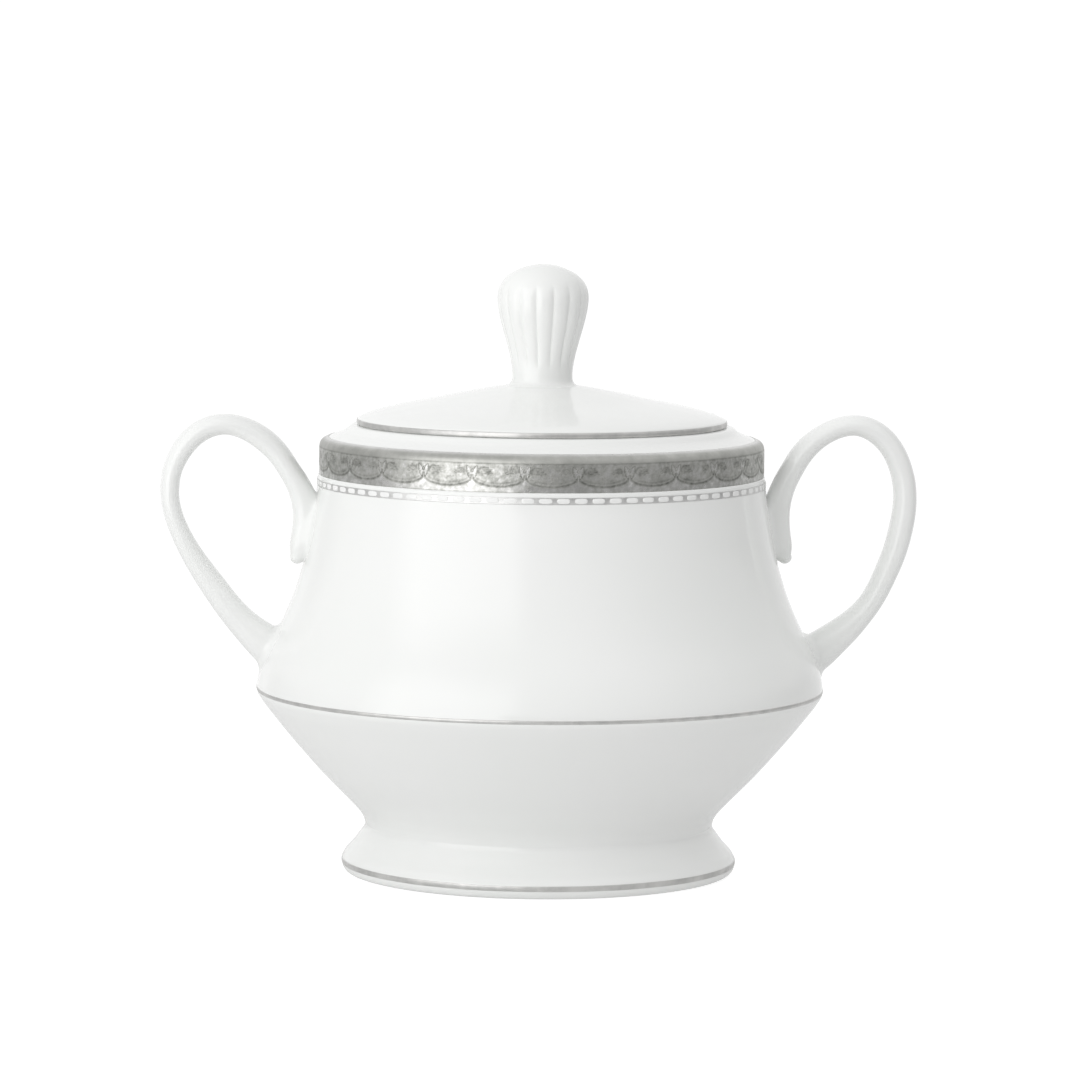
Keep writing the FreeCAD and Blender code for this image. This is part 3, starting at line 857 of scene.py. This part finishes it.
# studio light: a pale surround, a large soft box at the left of the camera,
# a darker right side near the horizon, an even overhead and a pale table
world = bpy.data.worlds.new("studio")
scene.world = world
world.use_nodes = True
wt = world.node_tree
wt.nodes.clear()


def wn(kind, **kw):
    nd = wt.nodes.new(kind)
    for k, v in kw.items():
        setattr(nd, k, v)
    return nd


tc = wn("ShaderNodeTexCoord")
sep = wn("ShaderNodeSeparateXYZ")
wt.links.new(tc.outputs["Generated"], sep.inputs[0])
at2 = wn("ShaderNodeMath", operation="ARCTAN2")
wt.links.new(sep.outputs["Y"], at2.inputs[0])
wt.links.new(sep.outputs["X"], at2.inputs[1])
mr = wn("ShaderNodeMapRange")
for k, v in zip(("From Min", "From Max", "To Min", "To Max"), (-math.pi, math.pi, 0.0, 1.0)):
    mr.inputs[k].default_value = v
wt.links.new(at2.outputs[0], mr.inputs["Value"])
TOPV = 2.5


def az(deg_from_camera):
    """place on the ramp of a direction, by its angle to the right of the
    camera's own direction from the object"""
    a = (-95.0 + deg_from_camera + 180.0) % 360.0
    return a / 360.0


def azimuth_ramp(pairs):
    stops = sorted([(az(d), v) for d, v in pairs])
    ramp = wn("ShaderNodeValToRGB")
    els = ramp.color_ramp.elements
    while len(els) > 1:
        els.remove(els[-1])
    els[0].position, els[0].color = stops[0][0], (stops[0][1] / TOPV,) * 3 + (1,)
    for pos, val in stops[1:]:
        e = els.new(pos)
        e.color = (val / TOPV,) * 3 + (1,)
    wt.links.new(mr.outputs["Result"], ramp.inputs["Fac"])
    return ramp.outputs["Color"]


def by_height(lo, hi, below, above):
    el = wn("ShaderNodeMapRange", interpolation_type="SMOOTHSTEP")
    for k, v in zip(("From Min", "From Max", "To Min", "To Max"), (lo, hi, 0.0, 1.0)):
        el.inputs[k].default_value = v
    wt.links.new(sep.outputs["Z"], el.inputs["Value"])
    mixn = wn("ShaderNodeMix", data_type="RGBA")
    ids = {s.identifier: s for s in mixn.inputs}
    wt.links.new(el.outputs["Result"], ids["Factor_Float"])
    for sock, v in ((ids["A_Color"], below), (ids["B_Color"], above)):
        if hasattr(v, "links"):
            wt.links.new(v, sock)
        else:
            sock.default_value = (v / TOPV,) * 3 + (1,)
    return [s for s in mixn.outputs if s.identifier == "Result_Color"][0]


low_band = azimuth_ramp(LOW_BAND)
mid_band = azimuth_ramp(MID_BAND)
sky = by_height(0.06, 0.20, low_band, mid_band)
sky = by_height(0.42, 0.80, sky, OVERHEAD)
sky = by_height(-0.42, -0.28, TABLE, sky)
bg = wn("ShaderNodeBackground")
wt.links.new(sky, bg.inputs["Color"])
bg.inputs["Strength"].default_value = TOPV
plain = wn("ShaderNodeBackground")
plain.inputs["Color"].default_value = (1, 1, 1, 1)
plain.inputs["Strength"].default_value = 1.05
lp_ = wn("ShaderNodeLightPath")
ms = wn("ShaderNodeMixShader")
wt.links.new(lp_.outputs["Is Camera Ray"], ms.inputs[0])
wt.links.new(bg.outputs[0], ms.inputs[1])
wt.links.new(plain.outputs[0], ms.inputs[2])
wo = wn("ShaderNodeOutputWorld")
wt.links.new(ms.outputs[0], wo.inputs["Surface"])

scene.view_settings.view_transform = "Standard"
scene.view_settings.look = "None"
scene.view_settings.exposure = 0.0
scene.view_settings.gamma = 1.0

# ---------------------------------------------------------------- camera
F, DIST, EL, ROLL, PHI, ZT = 5544.32, 1096.48, math.radians(6.073), math.radians(0.50), math.radians(5.0), 53.25
PX, PY = (540.43 - 540) / F, -(602.75 - 540) / F
cam = bpy.data.cameras.new("camera")
cam.sensor_width = 36.0
cam.lens = F / 1080 * 36.0
cam.clip_start, cam.clip_end = 0.05, 20.0
co = bpy.data.objects.new("camera", cam)
scene.collection.objects.link(co)
scene.camera = co
C = Vector((-math.sin(PHI) * DIST * math.cos(EL), -math.cos(PHI) * DIST * math.cos(EL), ZT + DIST * math.sin(EL)))
fwd = (Vector((0, 0, ZT)) - C).normalized()
right = fwd.cross(Vector((0, 0, 1))).normalized()
up = right.cross(fwd)
right, up = math.cos(ROLL) * right + math.sin(ROLL) * up, -math.sin(ROLL) * right + math.cos(ROLL) * up
a, b = math.atan(PX), math.atan(PY)
right, fwd = math.cos(a) * right + math.sin(a) * fwd, -math.sin(a) * right + math.cos(a) * fwd
up, fwd = math.cos(b) * up + math.sin(b) * fwd, -math.sin(b) * up + math.cos(b) * fwd
M = Matrix((right, up, -fwd)).transposed().to_4x4()
M.translation = C * MM
co.matrix_world = M
